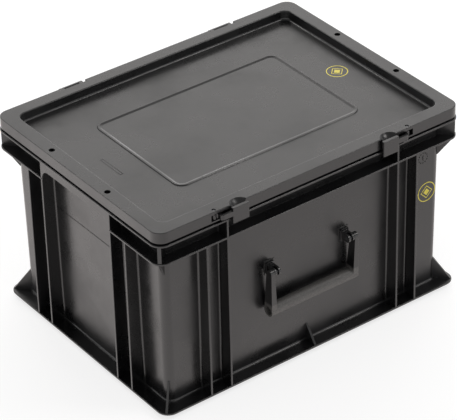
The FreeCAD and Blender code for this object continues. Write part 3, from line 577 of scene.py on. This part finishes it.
class MouldDetails(bpy.types.Operator):
    """Add the fine raised marks that the mould leaves: a date dial, a slim relief and the seams"""

    bl_idname = "storage_case.mould_details"
    bl_label = "Mould marks"

    def execute(self, context):
        mould = context.scene.storage_case_mould
        settle(
            self.date_dial(mould.dial / 2), "date_dial", on_front_wall(mould.dial_place), "container",
            "case_plastic",
        )
        self.lid_relief(mould)
        for side, name in ((-1, "seam_left"), (1, "seam_right")):
            flat_bar(mould.seam_long, SEAM_WIDE)
            matrix = on_side_wall(side, (0, mould.seam_high))
            settle([raise_shape(SEAM_HIGH)], name, matrix, "container", "case_plastic")
        return {"FINISHED"}

    def date_dial(self, radius):
        """A ring of dots around a plain arrow, all in shares of the radius."""
        tip = filled(3, radius * 0.26, DIAL_HIGH, stretch=(0.8, 1, 1), place=(0, radius * 0.22, 0))
        shaft = filled(4, radius * 0.2, DIAL_HIGH, stretch=(0.5, 1.6, 1), place=(0, -radius * 0.2, 0))
        dots = []
        for count in range(DIAL_DOTS):
            turn = math.radians(360 / DIAL_DOTS * count)
            spot = (radius * 0.85 * math.sin(turn), radius * 0.85 * math.cos(turn), 0)
            dots.append(filled(10, radius * 0.1, DIAL_HIGH, place=spot))
        return [tip, shaft, *dots]

    def lid_relief(self, mould):
        """A slim raised frame with its long side along the lid's short side."""
        flat_bar(mould.relief_wide, mould.relief_long)
        bpy.ops.mesh.inset(thickness=RELIEF_LINE)
        bpy.ops.mesh.delete(type="FACE")
        raised = raise_shape(RELIEF_HIGH)
        matrix = on_lid(mould.relief_place)
        settle([raised], "lid_relief", matrix, "lid", "case_plastic")


class SetStage(bpy.types.Operator):
    """Set the floor, the lamps, the background and the camera"""

    bl_idname = "storage_case.set_stage"
    bl_label = "Set the studio"

    def execute(self, context):
        self.lay_floor()
        self.light_world(context.scene)
        self.hang_lamps()
        self.place_camera(context.scene)
        return {"FINISHED"}

    def lay_floor(self):
        """A plain pale floor that glows for the camera and for reflections, with the shadow on it."""
        bpy.ops.mesh.primitive_plane_add(size=14)
        floor = bpy.context.object
        floor.name = "studio_floor"
        material, tree = new_material("floor_painted_board")
        path = add_node(tree, "ShaderNodeLightPath")
        seen = add_node(
            tree, "ShaderNodeMath", {0: path.outputs["Is Camera Ray"], 1: path.outputs["Is Glossy Ray"]},
            operation="MAXIMUM",
        )
        spot = add_node(
            tree, "ShaderNodeVectorMath",
            {0: add_node(tree, "ShaderNodeTexCoord").outputs["Object"], 1: POOL_WAY},
            operation="DOT_PRODUCT",
        )
        # Painted pool of light: for reflections only, the floor glows brighter towards one side.
        pool = between(tree, spot.outputs["Value"], *POOL_GLOW, *POOL_ENDS)
        direct = path.outputs["Is Camera Ray"]
        strength = add_node(tree, "ShaderNodeMix", {"Factor": direct, "A": pool, "B": SEEN_GLOW})
        warmth = add_node(
            tree, "ShaderNodeMix", {"Factor": direct, "A": (1.05, 0.99, 0.97, 1), "B": (1, 1, 1, 1)},
            data_type="RGBA",
        )
        # Painted shade: reflections see the floor's colour darker (0.16) than the camera does (0.4), so the
        # painted pool outshines its real shadow there.
        tone_dimmed_in_reflections = add_node(
            tree, "ShaderNodeMix", {"Factor": direct, "A": (0.16, 0.16, 0.16, 1), "B": (0.4, 0.4, 0.4, 1)},
            data_type="RGBA",
        )
        board = add_node(tree, "ShaderNodeBsdfDiffuse", {"Color": (0.80, 0.80, 0.80, 1)})
        shaded = add_node(tree, "ShaderNodeBsdfDiffuse", {"Color": tone_dimmed_in_reflections.outputs["Result"]})
        glow = add_node(
            tree, "ShaderNodeAddShader",
            {
                0: shaded.outputs["BSDF"],
                1: add_node(
                    tree, "ShaderNodeEmission",
                    {"Color": warmth.outputs["Result"], "Strength": strength.outputs["Result"]},
                ).outputs["Emission"],
            },
        )
        mixed = add_node(
            tree, "ShaderNodeMixShader",
            {0: seen.outputs["Value"], 1: board.outputs["BSDF"], 2: glow.outputs["Shader"]},
        )
        add_node(tree, "ShaderNodeOutputMaterial", {"Surface": mixed.outputs["Shader"]})
        floor.data.materials.append(material)

    def light_world(self, scene):
        """A surround that is white where it is seen. Reflections find it white low down and dim overhead."""
        world = bpy.data.worlds.new("studio_surround")
        scene.world = world
        world.use_nodes = True
        tree = world.node_tree
        tree.nodes.clear()
        path = add_node(tree, "ShaderNodeLightPath")
        way = add_node(tree, "ShaderNodeTexCoord").outputs["Object"]
        height = add_node(tree, "ShaderNodeSeparateXYZ", {"Vector": way}).outputs["Z"]
        rising = between(tree, height, HORIZON_GLOW, CEILING_GLOW, *DIMMING)
        mirrored = add_node(
            tree, "ShaderNodeMix", {"Factor": path.outputs["Is Glossy Ray"], "A": ROOM_GLOW, "B": rising}
        )
        strength = add_node(
            tree, "ShaderNodeMix",
            {"Factor": path.outputs["Is Camera Ray"], "A": mirrored.outputs["Result"], "B": 1.0},
        )
        surround = add_node(
            tree, "ShaderNodeBackground", {"Color": (1, 1, 1, 1), "Strength": strength.outputs["Result"]}
        )
        add_node(tree, "ShaderNodeOutputWorld", {"Surface": surround.outputs["Background"]})

    def hang_lamps(self):
        """Soft boxes that face the case: a wide one behind for the lid, and small ones for the edges."""
        for name, place, width, height, radiance in SOFTBOXES:
            data = bpy.data.lights.new(name + "_softbox", "AREA")
            data.shape = "RECTANGLE"
            data.size = width
            data.size_y = height
            data.energy = radiance * math.pi * width * height
            data.color = (1.03, 1.0, 0.98)
            lamp = bpy.data.objects.new(name + "_softbox", data)
            lamp.location = place
            aim = Vector(AIM) - lamp.location
            lamp.rotation_euler = aim.to_track_quat("-Z", "Y").to_euler()
            bpy.context.collection.objects.link(lamp)

    def place_camera(self, scene):
        """The camera at the photograph's angle, turned about its own axis by a small roll."""
        view = scene.storage_case_view
        a, e, roll = view.azimuth, view.elevation, view.roll
        back = Vector((math.sin(a) * math.cos(e), -math.cos(a) * math.cos(e), math.sin(e)))
        right = Vector((math.cos(a), math.sin(a), 0))
        up = back.cross(right)
        across = right * math.cos(roll) + up * math.sin(roll)
        data = bpy.data.cameras.new("camera")
        data.sensor_width = 36
        data.lens = view.lens
        data.clip_start, data.clip_end = 0.05, 50
        camera = bpy.data.objects.new("camera", data)
        turn = Matrix((across, back.cross(across), back)).transposed()
        camera.matrix_world = Matrix.Translation(Vector(view.target) + back * view.distance) @ turn.to_4x4()
        bpy.context.collection.objects.link(camera)
        scene.camera = camera
        scene.view_settings.view_transform = "Standard"


OPERATORS = (FinishMouldings, RootFillet, FieldSlope, PrintMarks, MouldDetails, SetStage)


class CasePanel(bpy.types.Panel):
    """List the sizes, the colours and the steps"""

    bl_idname = "VIEW3D_PT_storage_case"
    bl_label = "Storage Case"
    bl_space_type = "VIEW_3D"
    bl_region_type = "UI"
    bl_category = "Storage Case"

    def draw(self, context):
        column = self.layout.column()
        for group, kind in GROUPS.items():
            for name in kind.__annotations__:
                column.prop(getattr(context.scene, group), name)
        for operator in OPERATORS:
            column.operator(operator.bl_idname)


GROUPS = {
    "storage_case_colours": CaseColours,
    "storage_case_marks": CaseMarks,
    "storage_case_mould": CaseMould,
    "storage_case_view": CaseView,
}
CLASSES = (*GROUPS.values(), *OPERATORS, CasePanel)


def register():
    """Make the steps and their settings known to Blender."""
    for made in CLASSES:
        bpy.utils.register_class(made)
    for name, group in GROUPS.items():
        setattr(bpy.types.Scene, name, bpy.props.PointerProperty(type=group))


def unregister():
    """Take them out again."""
    for name in GROUPS:
        delattr(bpy.types.Scene, name)
    for made in reversed(CLASSES):
        bpy.utils.unregister_class(made)


def main():
    """Register the steps, then dress the case and set the studio."""
    register()
    for operator in OPERATORS:
        bpy.ops.object.select_all(action="DESELECT")
        group, name = operator.bl_idname.split(".")
        getattr(getattr(bpy.ops, group), name)()


if __name__ == "__main__":
    main()
